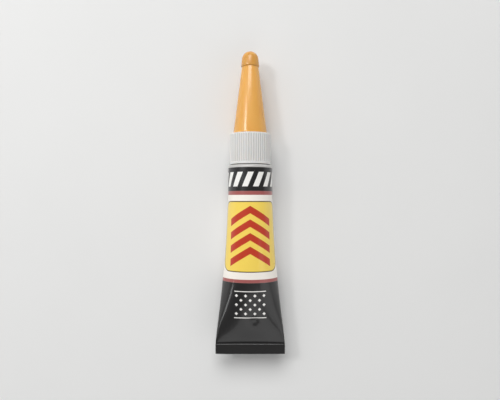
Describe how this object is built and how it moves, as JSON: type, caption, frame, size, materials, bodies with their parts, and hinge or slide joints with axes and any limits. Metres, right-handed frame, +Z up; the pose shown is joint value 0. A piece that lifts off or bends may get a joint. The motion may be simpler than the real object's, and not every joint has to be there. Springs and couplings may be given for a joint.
{
  "type": "glue tube",
  "caption": "Collapsible aluminium tube of glue: round barrel pressed flat to a rolled tail fold, ribbed screw-on nozzle and a pull-off conical cap with a needle stopper.",
  "frame": {"origin": "On the ground under the middle of the tube as it lies on its side.", "axes": "+Y along the tube's axis towards the cap, +Z up out of the printed front, +X across the flat tail."},
  "size_m": [0.0212, 0.0926, 0.0135],
  "materials": {
    "printed_tube": "enamelled and printed, satin gloss",
    "seal_foil": "bare bright metal",
    "tail_compound": "dried latex bead",
    "glue": "clear liquid",
    "washer_rubber": "soft moulded ring",
    "nozzle_plastic": "moulded polyethylene, satin",
    "cap_plastic": "moulded, semi-gloss",
    "tip_plastic": "moulded, semi-gloss"
  },
  "bodies": {
    "tube": {"tube": "printed_tube", "neck_seal": "seal_foil", "tail_sealant": "tail_compound", "adhesive": "glue"},
    "washer": {"nozzle_washer": "washer_rubber"},
    "nozzle": {"nozzle": "nozzle_plastic"},
    "cap": {"cap": "cap_plastic", "stopper_pin": "tip_plastic"}
  },
  "joints": [
    {"name": "nozzle_rise", "type": "slide", "parent": "tube", "child": "washer", "axis": [0, 1, 0], "range_m": [0, 0.00656]},
    {"name": "nozzle_turn", "type": "hinge", "parent": "washer", "child": "nozzle", "pos_m": [0, 0, 0.00675], "axis": [0, 1, 0], "range_deg": [0, 1890]},
    {"name": "cap_pull", "type": "slide", "parent": "nozzle", "child": "cap", "axis": [0, 1, 0], "range_m": [0, 0.024]}
  ],
  "couplings": [
    {"joint": "nozzle_turn", "follows": "nozzle_rise", "rad_per_m": 5026.5}
  ]
}
